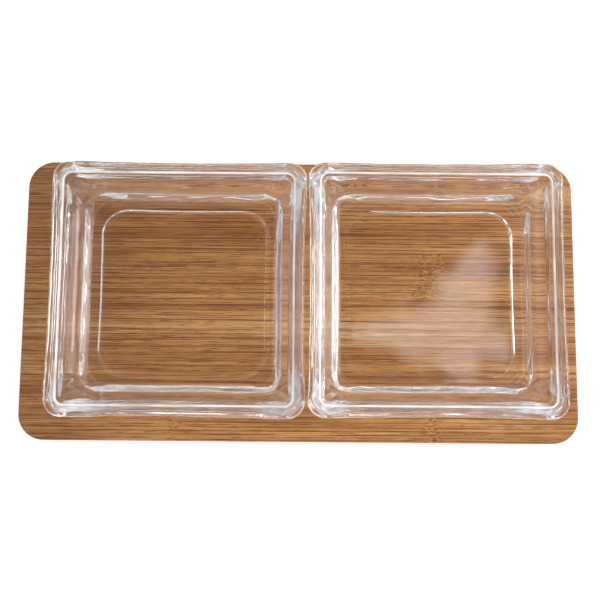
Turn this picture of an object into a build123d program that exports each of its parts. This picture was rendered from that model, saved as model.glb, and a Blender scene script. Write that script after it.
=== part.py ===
"""Chip and dip server: two loose square glass dishes side by side on a flat bamboo tray.

Millimetres, +Z up. Origin: centre of the tray's underside, so the tray rests on z = 0.
+X runs along the tray's long side, from the left dish to the right dish.
"""

import os

from build123d import *

os.makedirs("parts", exist_ok=True)

# ---------------------------------------------------------------- tray
TRAY_LENGTH = 300.0
TRAY_WIDTH = 152.0
TRAY_THICKNESS = 12.0
TRAY_CORNER_R = 14.0  # plan corners
TRAY_EDGE_R = 1.2  # eased top and bottom arris

# ---------------------------------------------------------------- dish
DISH_HEIGHT = 30.5  # foot to rim
FLOOR_THICKNESS = 10.9  # heavy pressed glass: the floor and walls are about as thick as each other
MOUTH_WIDTH = 118.2  # inside edge of the rim
MOUTH_CORNER_R = 4.2
FLOOR_WIDTH = 97.2  # inside floor
FLOOR_CORNER_R = 1.4
RIM_HOLLOW = 1.25  # how far each side of the rim is bowed inwards at its middle
BASE_HOLLOW = 0.9  # the same at the foot
RIM_CORNER_R = 8.5  # plan corner of the rim
BASE_CORNER_R = 16.0  # wider at the foot, and down to the rim's by three quarters of the height
CORNER_RATE = 1.35
RECESS_DEPTH = 1.1  # shallow hollow in the underside, which leaves a foot ring to stand on
RECESS_WIDTH = 89.6
RECESS_CORNER_R = 13.5
RECESS_SLOPE = 1.6  # how far the hollow's edge leans in
# The outer wall as (height, half width at the middle of a side): a foot, a waist, the body and the rim.
OUTER_WALL = (
    (0.0, 52.9),
    (4.0, 53.8),
    (8.0, 54.75),
    (11.5, 56.0),
    (14.5, 58.2),
    (17.5, 60.1),
    (21.0, 60.95),
    (24.5, 61.8),
    (27.5, 63.85),
    (30.5, 64.75),
)
RIM_OUTER_EASE = 1.4  # rounding of the rim's outer edge
RIM_INNER_EASE = 0.6  # rounding of the rim's inner edge
BASE_EASE = 2.0  # rounding under the foot
FLOOR_EASE = 0.8  # rounding where the inner wall meets the floor

# ---------------------------------------------------------------- where the loose dishes stand
LEFT_X = -62.1  # dish centres from the tray's centre: the pair stands a little off centre
LEFT_Y = 2.9
LEFT_TURN = -0.15  # degrees about Z
RIGHT_X = 69.9
RIGHT_Y = 3.5
RIGHT_TURN = 0.15


def bowed_square(half, hollow, corner_r):
    """Closed outline of a square whose four sides are bowed inwards by hollow. half is its half width at mid-side."""
    h = half + hollow
    with BuildLine() as outline:
        ThreePointArc((-h, -h), (0, -h + hollow), (h, -h))
        ThreePointArc((h, -h), (h - hollow, 0), (h, h))
        ThreePointArc((h, h), (0, h - hollow), (-h, h))
        ThreePointArc((-h, h), (-h + hollow, 0), (-h, -h))
    with BuildSketch() as sketch:
        add(outline.line)
        make_face()
        fillet(sketch.vertices(), corner_r)
    return sketch.sketch


def between(a, b, share):
    return a + (b - a) * share


# The outlines are plain faces at z = 0 and are added on their own planes below.
wall_outlines = [
    (
        z,
        bowed_square(
            half,
            between(BASE_HOLLOW, RIM_HOLLOW, z / DISH_HEIGHT),
            between(BASE_CORNER_R, RIM_CORNER_R, min(1.0, CORNER_RATE * z / DISH_HEIGHT)),
        ),
    )
    for z, half in OUTER_WALL
]

# ---------------------------------------------------------------- bamboo tray
with BuildPart() as bamboo_tray:
    with BuildSketch(Plane.XY):
        RectangleRounded(TRAY_LENGTH, TRAY_WIDTH, TRAY_CORNER_R)
    extrude(amount=TRAY_THICKNESS)
    fillet(bamboo_tray.faces().sort_by(Axis.Z)[-1].edges(), TRAY_EDGE_R)
    fillet(bamboo_tray.faces().sort_by(Axis.Z)[0].edges(), TRAY_EDGE_R)

# ---------------------------------------------------------------- glass dish, made at the origin
with BuildPart() as dish:
    for z, outline in wall_outlines:
        with BuildSketch(Plane.XY.offset(z)):
            add(outline)
    loft(ruled=False)
    # hollow: tapered from the mouth to a flat floor
    with BuildSketch(Plane.XY.offset(FLOOR_THICKNESS)):
        RectangleRounded(FLOOR_WIDTH, FLOOR_WIDTH, FLOOR_CORNER_R)
    with BuildSketch(Plane.XY.offset(DISH_HEIGHT)):
        RectangleRounded(MOUTH_WIDTH, MOUTH_WIDTH, MOUTH_CORNER_R)
    loft(ruled=True, mode=Mode.SUBTRACT)
    # the foot ring's hollow
    with BuildSketch(Plane.XY):
        RectangleRounded(RECESS_WIDTH, RECESS_WIDTH, RECESS_CORNER_R)
    with BuildSketch(Plane.XY.offset(RECESS_DEPTH)):
        RectangleRounded(RECESS_WIDTH - 2 * RECESS_SLOPE, RECESS_WIDTH - 2 * RECESS_SLOPE, RECESS_CORNER_R - RECESS_SLOPE)
    loft(ruled=True, mode=Mode.SUBTRACT)
    floor_face = dish.faces().filter_by(Plane.XY).sort_by(Axis.Z)[2]
    fillet(floor_face.edges(), FLOOR_EASE)
    rim_face = dish.faces().filter_by(Plane.XY).sort_by(Axis.Z)[-1]
    fillet(rim_face.outer_wire().edges(), RIM_OUTER_EASE)
    rim_face = dish.faces().filter_by(Plane.XY).sort_by(Axis.Z)[-1]
    fillet(rim_face.inner_wires()[0].edges(), RIM_INNER_EASE)
    foot_face = dish.faces().filter_by(Plane.XY).sort_by(Axis.Z)[0]
    fillet(foot_face.outer_wire().edges(), BASE_EASE)

# ---------------------------------------------------------------- the two loose dishes
left_place = Plane(origin=(LEFT_X, LEFT_Y, TRAY_THICKNESS)).rotated((0, 0, LEFT_TURN))
right_place = Plane(origin=(RIGHT_X, RIGHT_Y, TRAY_THICKNESS)).rotated((0, 0, RIGHT_TURN))

with BuildPart() as left_dish:
    add(left_place.location * dish.part)

with BuildPart() as right_dish:
    add(right_place.location * dish.part)

# ---------------------------------------------------------------- write
bamboo_tray.part.label = "bamboo_tray"
left_dish.part.label = "left_dish"
right_dish.part.label = "right_dish"
export_step(bamboo_tray.part, "parts/bamboo_tray.step")
export_step(left_dish.part, "parts/left_dish.step")
export_step(right_dish.part, "parts/right_dish.step")
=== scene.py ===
import math

import bpy
from mathutils import Matrix, Vector, noise


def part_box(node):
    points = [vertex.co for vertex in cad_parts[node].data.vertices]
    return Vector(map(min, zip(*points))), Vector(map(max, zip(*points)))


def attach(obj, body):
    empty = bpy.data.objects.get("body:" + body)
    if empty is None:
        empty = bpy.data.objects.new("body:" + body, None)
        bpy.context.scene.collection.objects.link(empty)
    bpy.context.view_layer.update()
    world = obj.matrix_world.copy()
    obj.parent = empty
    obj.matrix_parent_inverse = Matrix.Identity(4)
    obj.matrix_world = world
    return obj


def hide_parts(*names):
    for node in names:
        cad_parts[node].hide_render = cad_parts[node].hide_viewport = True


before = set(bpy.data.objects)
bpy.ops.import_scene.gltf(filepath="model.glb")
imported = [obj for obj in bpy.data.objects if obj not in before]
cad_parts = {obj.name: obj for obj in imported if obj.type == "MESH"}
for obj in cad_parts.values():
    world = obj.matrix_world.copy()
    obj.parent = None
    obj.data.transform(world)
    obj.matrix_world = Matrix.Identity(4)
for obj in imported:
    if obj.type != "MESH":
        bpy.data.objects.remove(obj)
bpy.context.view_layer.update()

scene = bpy.context.scene
MM = 0.001

# ------------------------------------------------------------------ sizes, millimetres
tray_lo, tray_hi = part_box("bamboo_tray")
T = tray_hi.z / MM  # the tray's top
TRAY_L, TRAY_W = (tray_hi.x - tray_lo.x) / MM, (tray_hi.y - tray_lo.y) / MM
TRAY_CORNER_R = 14.0
TRAY_EDGE_R = 1.2

DISH_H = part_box("left_dish")[1].z / MM - T
DISH_T = 10.9  # floor thickness
# the wall's section at the middle of a side, as (half width, height) of a smoothed path: foot, waist, body, rim, and back down inside
OUTER = [(0, 1.1), (42.6, 1.1), (43.6, 1.05), (44.6, 0.45), (45.2, 0.03), (46.2, 0), (51.4, 0), (54.1, 4.1), (55.3, 11.4), (60.5, 16.9), (61.2, 24.5), (64.9, 28.3), (64.0, 30.5), (61.5, 30.5)]
INNER = [(61.5, 30.5), (60.4, 30.5), (59.55, 30.5), (59.1, 30.1), (58.7, 29.3), (56.35, 24.6), (53.1, 18.0), (49.6, 12.4), (48.9, 11.15), (48.3, 10.9), (46.5, 10.9), (0, 10.9)]
RIM_HALF, MOUTH_HALF, FLOOR_HALF = 64.65, 59.1, 48.8
RIM_BOW, BASE_BOW = 1.25, 0.9  # how far the sides are bowed inwards at their middles
# centre x, y, turn in degrees about Z, seed of the surface waviness
PLACES = {"left_dish": (-62.1, 2.9, -0.15, 3.7), "right_dish": (69.9, 3.5, 0.15, 41.3)}


# ------------------------------------------------------------------ meshes
def mesh_object(name, verts, faces, smooth=True):
    me = bpy.data.meshes.new(name)
    me.from_pydata([Vector(v) * MM for v in verts], [], faces)
    me.validate()
    # outward normals, from the sign of the enclosed volume
    me.calc_loop_triangles()
    vs = me.vertices
    vol = sum(vs[t.vertices[0]].co.dot(vs[t.vertices[1]].co.cross(vs[t.vertices[2]].co)) for t in me.loop_triangles)
    if vol < 0:
        me.flip_normals()
    me.polygons.foreach_set("use_smooth", [smooth] * len(me.polygons))
    me.update()
    ob = bpy.data.objects.new(name, me)
    scene.collection.objects.link(ob)
    return ob


def ring(half, bow, r, ns, nc):
    """Outline of a bowed square as 4*(ns+nc) points (x, y), ns on each side and nc round each corner."""
    out = []
    edge = half - bow * (1 - ((half - r) / half) ** 2)
    slope = math.atan(2 * bow * (half - r) / half / half)
    c0 = edge - r * math.cos(slope)
    for k in range(4):
        c, s = math.cos(math.pi / 2 * k), math.sin(math.pi / 2 * k)
        for i in range(ns):
            # closer together near the corners
            u = math.sin(((i + 0.5) / ns * 2 - 1) * math.pi / 2 * 0.9) / math.sin(math.pi / 2 * 0.9)
            y = u * (half - r)
            x = half - bow * (1 - (y / half) ** 2)
            out.append((c * x - s * y, s * x + c * y))
        for j in range(nc):
            th = -slope + (j + 0.5) / nc * (math.pi / 2 + 2 * slope)
            x, y = c0 + r * math.cos(th), c0 + r * math.sin(th)
            out.append((c * x - s * y, s * x + c * y))
    return out


def rounded(a, b, c, r, n):
    """The corner b of the path a, b, c rounded to radius r, as n + 1 points."""
    ux, uz = a[0] - b[0], a[1] - b[1]
    vx, vz = c[0] - b[0], c[1] - b[1]
    lu, lv = math.hypot(ux, uz), math.hypot(vx, vz)
    ux, uz, vx, vz = ux / lu, uz / lu, vx / lv, vz / lv
    ang = math.acos(max(-1, min(1, ux * vx + uz * vz)))
    d = r / math.tan(ang / 2)
    wx, wz = ux + vx, uz + vz
    lw = math.hypot(wx, wz)
    cx, cz = b[0] + wx / lw * r / math.sin(ang / 2), b[1] + wz / lw * r / math.sin(ang / 2)
    a0 = math.atan2(b[1] + uz * d - cz, b[0] + ux * d - cx)
    a1 = math.atan2(b[1] + vz * d - cz, b[0] + vx * d - cx)
    while a1 - a0 > math.pi:
        a1 -= 2 * math.pi
    while a1 - a0 < -math.pi:
        a1 += 2 * math.pi
    return [(cx + r * math.cos(a0 + (a1 - a0) * i / n), cz + r * math.sin(a0 + (a1 - a0) * i / n)) for i in range(n + 1)]


def lerp(a, b, t):
    return a + (b - a) * t


def smoothed(path, times):
    """The path with its corners cut, and cut again, until it is a smooth curve."""
    for _ in range(times):
        cut = [path[0]]
        for (ax, az), (bx, bz) in zip(path[:-1], path[1:]):
            cut += [(ax * 0.75 + bx * 0.25, az * 0.75 + bz * 0.25), (ax * 0.25 + bx * 0.75, az * 0.25 + bz * 0.75)]
        path = cut + [path[-1]]
    return path


def dish_section():
    """The section from the underside's middle, out, up and over, to the floor's middle."""
    out = smoothed(OUTER, 3)[1:]
    back = smoothed(INNER, 3)[1:-1]
    return [(x, z, "O") for x, z in out] + [(x, z, "I") for x, z in back]


NS, NC = 44, 14


def glass_dish(name, seed):
    H, t = DISH_H, DISH_T
    rings = dish_section()
    verts = []
    for x, z, kind in rings:
        s = max(0, min(1, z / H))
        if kind == "O":
            f = min(1, x / 50)
            bow = lerp(BASE_BOW, RIM_BOW, s) * f * max(0, min(1, (x - MOUTH_HALF) / 3)) if z > H - 0.2 else lerp(BASE_BOW, RIM_BOW, s) * f
            r = lerp(16.0, 8.5, min(1, s * 1.35)) * f
        else:
            bow, r = 0.0, lerp(0.6, 4.2, max(0, min(1, (z - t) / (H - t)))) * min(1, x / 45)
        for X, Y in ring(x + bow, bow, max(0.3, min(r, x * 0.9)), NS, NC):
            verts.append(Vector((X, Y, z)))
    n = 4 * (NS + NC)
    m = len(rings)
    # corners of the rim are softer than its sides
    for v in verts:
        if v.z > H - 5:
            rc = max(0, math.hypot(v.x, v.y) - 80.5)
            v.z -= min(1.6, 0.045 * rc * rc) * (v.z - (H - 5)) / 5
    # the waviness of pressed, fire-polished glass: strongest in the corners, faint on the floor
    out = []
    for v in verts:
        q = v * 0.075 + Vector((seed, seed * 1.7, 0))
        w = noise.noise_vector(q) * 0.22 + noise.noise_vector(q * 2.6) * 0.08
        reach = max(abs(v.x), abs(v.y))
        side = max(0, min(1, (reach - 44) / 6))
        corner = max(0, min(1, (math.hypot(v.x, v.y) - 62) / 14))
        w += noise.noise_vector(v * 0.33 + Vector((seed, 0, 5))) * 0.17 * corner
        lift = max(0, min(1, v.z / 2)) * max(0, min(1, (H - v.z) / 1.5 + 0.15))
        slow = noise.noise_vector(v * 0.020 + Vector((seed, 3.0, 0))).z * 0.22 * max(0, min(1, (50 - reach) / 10))
        out.append(v + Vector((w.x * side, w.y * side, w.z * 0.4 * side + slow)) * lift)
    # a hair of air under the foot, and nothing above the rim's height
    verts = [Vector((v.x, v.y, min(max(v.z, 0.03), H - 0.01))) for v in out]
    faces = []
    for i in range(m - 1):
        for j in range(n):
            a, b = i * n + j, i * n + (j + 1) % n
            faces.append((a, b, b + n, a + n))
    faces.append(tuple(range(n))[::-1])
    faces.append(tuple((m - 1) * n + j for j in range(n)))
    return mesh_object(name, verts, faces)


def tray_mesh():
    """A board with rounded corners and eased edges."""
    hx, hy, R, e, z1 = TRAY_L / 2 - 0.005, TRAY_W / 2 - 0.005, TRAY_CORNER_R, TRAY_EDGE_R, T
    prof = []
    for i in range(7):
        a = math.pi / 2 * i / 6
        prof.append((e * (1 - math.sin(a)), z1 - e * (1 - math.cos(a))))
    side = [(0, lerp(z1 - e, e, i / 4)) for i in range(1, 4)]
    low = [(e * (1 - math.cos(math.pi / 2 * i / 6)), e * (1 - math.sin(math.pi / 2 * i / 6))) for i in range(7)]
    top = [(a, b) for a, b in prof]
    path = top + side + low
    verts, faces = [], []
    nc = 20
    for inset, z in path:
        for cx, cy, a0 in ((1, 1, 0), (-1, 1, 90), (-1, -1, 180), (1, -1, 270)):
            for i in range(nc + 1):
                a = math.radians(a0 + 90 * i / nc)
                r = R - inset
                verts.append((cx * (hx - R) + r * math.cos(a), cy * (hy - R) + r * math.sin(a), z))
    n = 4 * (nc + 1)
    m = len(path)
    for i in range(m - 1):
        for j in range(n):
            faces.append((i * n + j, i * n + (j + 1) % n, (i + 1) * n + (j + 1) % n, (i + 1) * n + j))
    faces.append(tuple(range(n))[::-1])
    faces.append(tuple((m - 1) * n + j for j in range(n)))
    return mesh_object("bamboo_board", verts, faces)


# ------------------------------------------------------------------ materials
class Nodes:
    """Short hand for building a node material."""

    def __init__(self, name):
        self.mat = bpy.data.materials.new(name)
        self.mat.use_nodes = True
        self.t = self.mat.node_tree
        self.bsdf = self.t.nodes["Principled BSDF"]
        self.out = self.t.nodes["Material Output"]

    def set(self, socket, value):
        if isinstance(value, bpy.types.NodeSocket):
            self.t.links.new(value, socket)
        elif value is not None:
            socket.default_value = value

    def math(self, op, a, b=None, c=None, clamp=False):
        n = self.t.nodes.new("ShaderNodeMath")
        n.operation = op
        n.use_clamp = clamp
        for i, v in enumerate((a, b, c)):
            self.set(n.inputs[i], v)
        return n.outputs[0]

    def noise(self, vec, scale=1.0, detail=2.0, rough=0.5, distortion=0.0, dims="3D"):
        n = self.t.nodes.new("ShaderNodeTexNoise")
        n.noise_dimensions = dims
        self.set(n.inputs["Vector"], vec)
        n.inputs["Scale"].default_value = scale
        n.inputs["Detail"].default_value = detail
        n.inputs["Roughness"].default_value = rough
        n.inputs["Distortion"].default_value = distortion
        return n.outputs[0]

    def voronoi(self, vec, scale=1.0, feature="F1", randomness=1.0):
        n = self.t.nodes.new("ShaderNodeTexVoronoi")
        n.feature = feature
        self.set(n.inputs["Vector"], vec)
        n.inputs["Scale"].default_value = scale
        n.inputs["Randomness"].default_value = randomness
        return n.outputs[0]

    def combine(self, x, y, z):
        n = self.t.nodes.new("ShaderNodeCombineXYZ")
        for i, v in enumerate((x, y, z)):
            self.set(n.inputs[i], v)
        return n.outputs[0]

    def separate(self, vec):
        n = self.t.nodes.new("ShaderNodeSeparateXYZ")
        self.set(n.inputs[0], vec)
        return n.outputs

    def step(self, v, lo, hi, a=0.0, b=1.0, smooth=True):
        """v mapped from lo..hi to a..b, with soft ends."""
        n = self.t.nodes.new("ShaderNodeMapRange")
        n.interpolation_type = "SMOOTHSTEP" if smooth else "LINEAR"
        self.set(n.inputs[0], v)
        for i, k in enumerate((lo, hi, a, b)):
            n.inputs[i + 1].default_value = k
        return n.outputs[0]

    def ramp(self, v, stops):
        n = self.t.nodes.new("ShaderNodeValToRGB")
        e = n.color_ramp.elements
        while len(e) < len(stops):
            e.new(0.5)
        for i, (p, c) in enumerate(stops):
            e[i].position = p
            e[i].color = (*c, 1)
        self.set(n.inputs[0], v)
        return n.outputs[0]

    def mix(self, f, a, b, mode="MIX"):
        n = self.t.nodes.new("ShaderNodeMix")
        n.data_type = "RGBA"
        n.blend_type = mode
        n.clamp_factor = True
        self.set(n.inputs[0], f)
        self.set(n.inputs[6], (*a, 1) if isinstance(a, tuple) else a)
        self.set(n.inputs[7], (*b, 1) if isinstance(b, tuple) else b)
        return n.outputs[2]

    def coords(self):
        return self.t.nodes.new("ShaderNodeTexCoord").outputs["Object"]

    def bump(self, height, strength, distance):
        n = self.t.nodes.new("ShaderNodeBump")
        n.inputs["Strength"].default_value = strength
        n.inputs["Distance"].default_value = distance
        self.set(n.inputs["Height"], height)
        self.t.links.new(n.outputs[0], self.bsdf.inputs["Normal"])


def srgb(r, g, b):
    return tuple(((c / 255 + 0.055) / 1.055) ** 2.4 if c > 10 else c / 255 / 12.92 for c in (r, g, b))


def bamboo_material():
    k = Nodes("bamboo")
    xs, ys, zs = (k.math("MULTIPLY", o, 1000.0) for o in k.separate(k.coords()))  # millimetres
    # six glued strips, each its own piece of cane
    sw = TRAY_W / 6
    u = k.math("DIVIDE", k.math("ADD", ys, TRAY_W / 2), sw)
    idx = k.math("FLOOR", u)
    frac = k.math("FRACT", u)
    pick = k.t.nodes.new("ShaderNodeTexWhiteNoise")
    pick.noise_dimensions = "1D"
    k.t.links.new(idx, pick.inputs["W"])
    rnd = pick.outputs["Value"]
    shift = k.math("MULTIPLY", rnd, 900.0)
    xa = k.math("ADD", xs, shift)
    depth = k.math("MULTIPLY", zs, 0.9)
    yz = k.math("ADD", ys, depth)
    # slow wander of the fibres
    wander = k.noise(k.combine(k.math("MULTIPLY", xa, 0.012), k.math("MULTIPLY", ys, 0.05), idx), 1.0, 2.0)
    yw = k.math("ADD", yz, k.math("MULTIPLY", k.math("SUBTRACT", wander, 0.5), 1.6))

    def streak(fx, fy, detail=2.0, rough=0.5, seed=0.0):
        return k.noise(
            k.combine(k.math("MULTIPLY", xa, fx), k.math("MULTIPLY", yw, fy), k.math("ADD", idx, seed)), 1.0, detail, rough
        )

    broad = streak(0.007, 0.09, 2.0, 0.5, 3.3)
    patch = streak(0.014, 0.25, 2.0, 0.5, 41.8)
    fine = streak(0.004, 1.6, 2.0, 0.7, 7.1)
    hair = streak(0.03, 6.0, 2.0, 0.6, 11.7)
    tone = k.math("MULTIPLY_ADD", broad, 0.46, k.math("MULTIPLY", fine, 0.34))
    tone = k.math("ADD", tone, k.math("MULTIPLY", hair, 0.26))
    tone = k.math("ADD", tone, k.math("MULTIPLY", k.math("SUBTRACT", rnd, 0.5), 0.08))
    col = k.ramp(
        tone,
        [
            (0.42, srgb(138, 89, 44)),
            (0.50, srgb(160, 110, 60)),
            (0.57, srgb(174, 125, 74)),
            (0.66, srgb(190, 145, 94)),
        ],
    )
    # reddish runs
    red = k.math("MULTIPLY", k.step(patch, 0.50, 0.64), k.step(fine, 0.44, 0.56))
    col = k.mix(k.math("MULTIPLY", red, 0.55), col, srgb(136, 66, 26))

    # dark fibre bundles: hairlines that run the length of a strip and fade in and out
    along = k.math("MULTIPLY", k.math("SUBTRACT", k.noise(k.combine(k.math("MULTIPLY", xa, 0.011), k.math("MULTIPLY", ys, 0.15), 0.0), 1.0, 0.0), 0.5), 1.1)
    lane = k.math("ADD", k.math("ADD", yz, along), k.math("MULTIPLY", idx, 57.3))

    def hairlines(pitch, half, seed, keep_lo, keep_hi, length):
        """Thin lines, one about every pitch mm across the grain, half mm thick to each side, kept where a long noise is high."""
        n = k.t.nodes.new("ShaderNodeTexVoronoi")
        n.voronoi_dimensions = "1D"
        n.feature = "F1"
        k.set(n.inputs["W"], k.math("ADD", k.math("DIVIDE", lane, pitch), seed))
        n.inputs["Scale"].default_value = 1.0
        n.inputs["Randomness"].default_value = 1.0
        line = k.step(n.outputs["Distance"], half * 1.5 / pitch, half * 0.5 / pitch)
        keep = k.noise(k.combine(k.math("MULTIPLY", xa, 1 / length), k.math("DIVIDE", k.math("ROUND", k.math("MULTIPLY", lane, 3.0)), 1.7), seed), 1.0, 1.0)
        return k.math("MULTIPLY", line, k.step(keep, keep_lo, keep_hi))

    col = k.mix(k.math("MULTIPLY", hairlines(2.6, 0.27, 19.2, 0.40, 0.53, 80), 0.88), col, srgb(88, 46, 16))
    col = k.mix(k.math("MULTIPLY", hairlines(1.15, 0.21, 52.6, 0.46, 0.56, 24), 0.80), col, srgb(92, 48, 18))
    col = k.mix(k.math("MULTIPLY", hairlines(0.9, 0.19, 33.1, 0.52, 0.60, 9), 0.70), col, srgb(84, 44, 18))
    col = k.mix(k.math("MULTIPLY", hairlines(1.9, 0.20, 77.9, 0.44, 0.62, 50), 0.35), col, srgb(216, 174, 116))
    dots = streak(0.40, 5.0, 1.0, 0.5, 23.9)
    pits = k.step(dots, 0.37, 0.25)
    col = k.mix(k.math("MULTIPLY", pits, 0.30), col, srgb(86, 46, 20))
    # where a joint of the cane crosses a strip the fibres break up into short wavy flecks
    ragged = k.math("MULTIPLY", k.math("SUBTRACT", k.noise(k.combine(k.math("MULTIPLY", xs, 0.2), k.math("MULTIPLY", ys, 0.35), 0.0), 1.0, 2.0), 0.5), 22.0)
    fleck = k.noise(k.combine(k.math("MULTIPLY", xs, 0.42), k.math("MULTIPLY", ys, 1.05), 4.0), 1.0, 2.0, 0.6, 0.8)
    for strip, x0, half, strength in ((3, 70.0, 9.0, 0.75), (0, 71.5, 5.0, 0.9), (0, -67.0, 3.5, 0.6), (5, 75.0, 4.0, 0.8), (1, -118.0, 4.0, 0.5), (4, -20.0, 5.0, 0.35)):
        here = k.math("COMPARE", idx, float(strip), 0.5)
        off = k.math("ABSOLUTE", k.math("ADD", k.math("SUBTRACT", xs, x0), ragged))
        zone = k.math("MULTIPLY", here, k.step(off, half, half * 0.55, 0.0, strength))
        col = k.mix(k.math("MULTIPLY", zone, 0.30), col, srgb(164, 116, 58))
        col = k.mix(k.math("MULTIPLY", zone, k.step(fleck, 0.53, 0.59)), col, srgb(84, 46, 18))
        col = k.mix(k.math("MULTIPLY", zone, k.step(fleck, 0.44, 0.38, 0.0, 0.6)), col, srgb(190, 146, 88))
    knot = k.math("ADD", k.math("POWER", k.math("DIVIDE", k.math("SUBTRACT", xs, 76.0), 5.5), 2.0), k.math("POWER", k.math("DIVIDE", k.math("SUBTRACT", ys, 57.5), 1.6), 2.0))
    col = k.mix(k.step(knot, 1.3, 0.4, 0.0, 0.8), col, srgb(60, 32, 15))
    # painted shade: the left end of the board is darkened in its colour, standing in for the light falling off towards
    # the left, away from the lamps on the right
    painted_left_shade = k.step(k.math("ADD", xs, k.math("MULTIPLY", k.math("SUBTRACT", broad, 0.5), 60.0)), -165.0, -45.0, 0.42, 0.0)
    col = k.mix(painted_left_shade, col, srgb(70, 42, 20))
    # hairline glue seams
    seam = k.step(k.math("ABSOLUTE", k.math("SUBTRACT", frac, 0.5)), 0.4905, 0.4965)
    col = k.mix(k.math("MULTIPLY", seam, 0.45), col, srgb(104, 62, 33))
    # end grain on the two short edges: packed dark dots
    nrm = k.separate(k.t.nodes.new("ShaderNodeNewGeometry").outputs["Normal"])
    end = k.step(k.math("ABSOLUTE", nrm[0]), 0.55, 0.8)
    cell = k.voronoi(k.combine(k.math("MULTIPLY", xs, 0.05), k.math("MULTIPLY", ys, 1.3), k.math("MULTIPLY", zs, 1.3)), 1.0)
    endcol = k.ramp(cell, [(0.12, srgb(98, 60, 32)), (0.4, srgb(164, 118, 76)), (0.8, srgb(184, 140, 98))])
    col = k.mix(end, col, endcol)
    k.set(k.bsdf.inputs["Base Color"], col)
    k.set(k.bsdf.inputs["Roughness"], k.math("MULTIPLY_ADD", hair, 0.18, 0.34))
    k.bsdf.inputs["Specular IOR Level"].default_value = 0.3
    k.bump(k.math("ADD", k.math("MULTIPLY", hair, 0.5), k.math("MULTIPLY", fine, 0.5)), 0.25, 0.0002)
    return k.mat


def glass_material():
    k = Nodes("clear pressed glass")
    co = k.coords()
    b = k.bsdf
    b.inputs["Transmission Weight"].default_value = 1
    b.inputs["IOR"].default_value = 1.5
    b.inputs["Roughness"].default_value = 0.0
    # the faintest uneven tint of soda-lime glass
    k.set(b.inputs["Base Color"], k.ramp(k.noise(co, 45.0, 3.0, 0.6), [(0.35, (0.985, 0.983, 0.986)), (0.65, (1.0, 1.0, 1.0))]))
    path = k.t.nodes.new("ShaderNodeLightPath")
    clear = k.t.nodes.new("ShaderNodeBsdfTransparent")
    clear.inputs["Color"].default_value = (0.99, 0.99, 0.99, 1)
    mix = k.t.nodes.new("ShaderNodeMixShader")
    k.t.links.new(path.outputs["Is Shadow Ray"], mix.inputs[0])
    k.t.links.new(b.outputs[0], mix.inputs[1])
    k.t.links.new(clear.outputs[0], mix.inputs[2])
    # painted highlight: a pale diffuse band mixed into the glass draws a thin white line round each mouth, on the
    # fire-polished arris where the real edge catches the light
    xs, ys, zs = (k.math("MULTIPLY", o, 1000.0) for o in k.separate(co))
    near = None
    for cx, cy, turn, seed in PLACES.values():
        qx = k.math("SUBTRACT", k.math("ABSOLUTE", k.math("SUBTRACT", xs, cx)), 59.25 - 4.2)
        qy = k.math("SUBTRACT", k.math("ABSOLUTE", k.math("SUBTRACT", ys, cy)), 59.25 - 4.2)
        ox, oy = k.math("MAXIMUM", qx, 0.0), k.math("MAXIMUM", qy, 0.0)
        d = k.math("SQRT", k.math("ADD", k.math("MULTIPLY", ox, ox), k.math("MULTIPLY", oy, oy)))
        d = k.math("ADD", d, k.math("MINIMUM", k.math("MAXIMUM", qx, qy), 0.0))
        d = k.math("ABSOLUTE", k.math("SUBTRACT", d, 4.2))
        near = d if near is None else k.math("MINIMUM", near, d)
    uneven = k.noise(co, 60.0, 1.0)
    line = k.math("MULTIPLY", k.step(near, 0.62, 0.22), k.step(zs, T + DISH_H - 1.6, T + DISH_H - 1.0))
    line = k.math("MULTIPLY", line, k.step(uneven, 0.30, 0.70, 0.55, 0.95))
    # the pale colour of the painted highlight line
    pale = k.t.nodes.new("ShaderNodeBsdfDiffuse")
    pale.inputs["Color"].default_value = (0.93, 0.92, 0.92, 1)
    painted_arris_highlight = k.t.nodes.new("ShaderNodeMixShader")
    k.t.links.new(line, painted_arris_highlight.inputs[0])
    k.t.links.new(mix.outputs[0], painted_arris_highlight.inputs[1])
    k.t.links.new(pale.outputs[0], painted_arris_highlight.inputs[2])
    k.t.links.new(painted_arris_highlight.outputs[0], k.out.inputs["Surface"])
    # a little of the light is lost along the long paths inside the walls
    soak = k.t.nodes.new("ShaderNodeVolumeAbsorption")
    soak.inputs["Color"].default_value = (0.85, 0.846, 0.852, 1)
    soak.inputs["Density"].default_value = 18.0
    k.t.links.new(soak.outputs[0], k.out.inputs["Volume"])
    return k.mat


def floor_material():
    k = Nodes("pale floor")
    k.bsdf.inputs["Roughness"].default_value = 0.9
    n = k.noise(k.coords(), 40.0, 2.0)
    k.set(k.bsdf.inputs["Base Color"], k.ramp(n, [(0.3, (0.93, 0.93, 0.93)), (0.7, (0.95, 0.95, 0.95))]))
    # backlit a little, as a shooting table is
    k.bsdf.inputs["Emission Color"].default_value = (1.0, 1.0, 1.0, 1)
    k.bsdf.inputs["Emission Strength"].default_value = 0.27
    return k.mat


# ------------------------------------------------------------------ the object
bamboo = bamboo_material()
glass = glass_material()

tray = tray_mesh()
tray.data.materials.append(bamboo)
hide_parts("bamboo_tray")
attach(tray, "tray")

for node, (x, y, turn, seed) in PLACES.items():
    ob = glass_dish(node + "_glass", seed)
    ob.data.transform(Matrix.Translation((x * MM, y * MM, T * MM)) @ Matrix.Rotation(math.radians(turn), 4, "Z"))
    ob.data.update()
    ob.data.materials.append(glass)
    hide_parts(node)
    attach(ob, node)

# ------------------------------------------------------------------ floor, light, camera
me = bpy.data.meshes.new("floor")
F = 4.0
me.from_pydata([(-F, -F, 0), (F, -F, 0), (F, F, 0), (-F, F, 0)], [], [(0, 1, 2, 3)])
floor = bpy.data.objects.new("floor", me)
scene.collection.objects.link(floor)
me.materials.append(floor_material())

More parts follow.
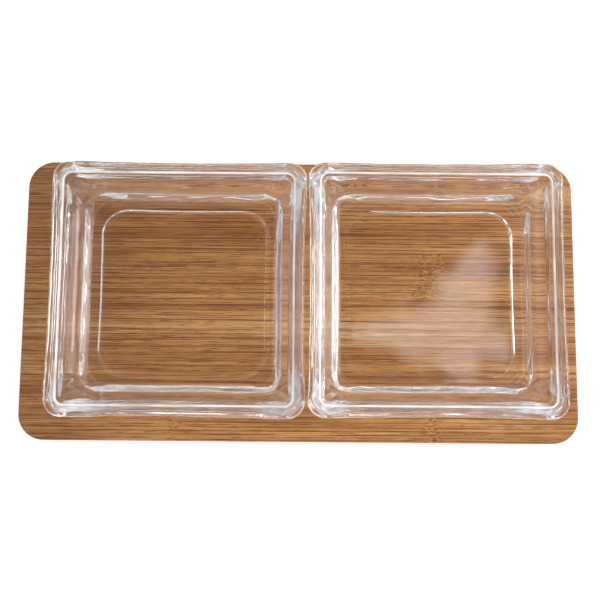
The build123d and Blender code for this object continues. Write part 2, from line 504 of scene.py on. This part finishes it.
world = bpy.data.worlds.new("studio")
scene.world = world
world.use_nodes = True
wt = world.node_tree
bg = wt.nodes["Background"]
sky = wt.nodes.new("ShaderNodeTexCoord")
sep = wt.nodes.new("ShaderNodeSeparateXYZ")
wt.links.new(sky.outputs["Generated"], sep.inputs[0])
ramp = wt.nodes.new("ShaderNodeValToRGB")
stops = [(0.0, 0.45), (0.25, 0.62), (0.60, 1.36), (0.85, 1.36), (0.93, 0.04)]  # by the sine of the elevation
els = ramp.color_ramp.elements
while len(els) < len(stops):
    els.new(0.5)
for e, (p, v) in zip(els, stops):
    e.position = p
    e.color = (v, v, v, 1)
wt.links.new(sep.outputs[2], ramp.inputs[0])


def sky_math(op, a, b=None):
    n = wt.nodes.new("ShaderNodeMath")
    n.operation = op
    for i, v in enumerate((a, b)):
        if isinstance(v, bpy.types.NodeSocket):
            wt.links.new(v, n.inputs[i])
        elif v is not None:
            n.inputs[i].default_value = v
    return n.outputs[0]


# a soft patch of light high up on the right, uneven at its edges, as through a fabric softbox
px, py = sky_math("DIVIDE", sep.outputs[0], sep.outputs[2]), sky_math("DIVIDE", sep.outputs[1], sep.outputs[2])
cloth = wt.nodes.new("ShaderNodeTexNoise")
cloth.inputs["Scale"].default_value = 9.0
cloth.inputs["Detail"].default_value = 2.0
wt.links.new(sky.outputs["Generated"], cloth.inputs["Vector"])
ragged = sky_math("MULTIPLY", sky_math("SUBTRACT", cloth.outputs[0], 0.5), 0.16)
right = sky_math("SUBTRACT", 0.240, px)
slant = sky_math("SUBTRACT", sky_math("MULTIPLY", sky_math("SUBTRACT", px, 0.075), 0.70), sky_math("ABSOLUTE", sky_math("SUBTRACT", py, 0.066)))
near = sky_math("MINIMUM", sky_math("ADD", right, ragged), sky_math("ADD", slant, ragged))
patch = wt.nodes.new("ShaderNodeMapRange")
patch.interpolation_type = "SMOOTHSTEP"
wt.links.new(near, patch.inputs[0])
for i, v in enumerate((-0.012, 0.030, 0.0, 2.3)):
    patch.inputs[i + 1].default_value = v
up = sky_math("GREATER_THAN", sep.outputs[2], 0.5)
total = sky_math("ADD", ramp.outputs[0], sky_math("MULTIPLY", patch.outputs[0], up))
wt.links.new(total, bg.inputs[0])
bg.inputs[1].default_value = 1.0


def area_light(name, loc, at, size, energy, size_y=None):
    li = bpy.data.lights.new(name, "AREA")
    li.energy = energy
    li.size = size
    if size_y:
        li.shape = "RECTANGLE"
        li.size_y = size_y
    ob = bpy.data.objects.new(name, li)
    ob.location = loc
    ob.rotation_euler = (Vector(at) - Vector(loc)).to_track_quat("-Z", "Y").to_euler()
    scene.collection.objects.link(ob)
    return ob


overhead = area_light("softbox overhead", (0.29, 0.105, 1.0), (0.08, 0.0, 0.0), 0.25, 0.30, 0.25)
overhead.visible_glossy = False
overhead.visible_transmission = False
area_light("strip front", (0.05, -0.85, 0.50), (0.0, 0.0, 0.02), 0.9, 1.2, 0.06)
area_light("strip back", (0.0, 0.80, 0.45), (0.0, 0.0, 0.02), 0.7, 0.9, 0.06)
area_light("softbox right", (0.62, 0.12, 0.42), (0.05, 0.0, 0.0), 0.35, 2.4)

cam = bpy.data.cameras.new("camera")
cam_ob = bpy.data.objects.new("camera", cam)
scene.collection.objects.link(cam_ob)
view_rot = (
    Matrix.Rotation(math.radians(-0.49), 3, "Z") @ Matrix.Rotation(math.radians(0.055), 3, "Y") @ Matrix.Rotation(math.radians(-6.35), 3, "X")
)
cam_ob.matrix_world = Matrix.Translation((-0.00006, -0.044, 0.416 + T * MM)) @ view_rot.transposed().to_4x4()
cam.sensor_width = 36
cam.lens = 770 / 600 * 36
cam.shift_y = -4 / 600
cam.clip_start = 0.01
cam.dof.use_dof = False
scene.camera = cam_ob

# light crosses many faces inside thick glass
scene.cycles.max_bounces = 40
scene.cycles.transmission_bounces = 40
scene.cycles.glossy_bounces = 40
scene.cycles.transparent_max_bounces = 40
scene.view_settings.view_transform = "Standard"
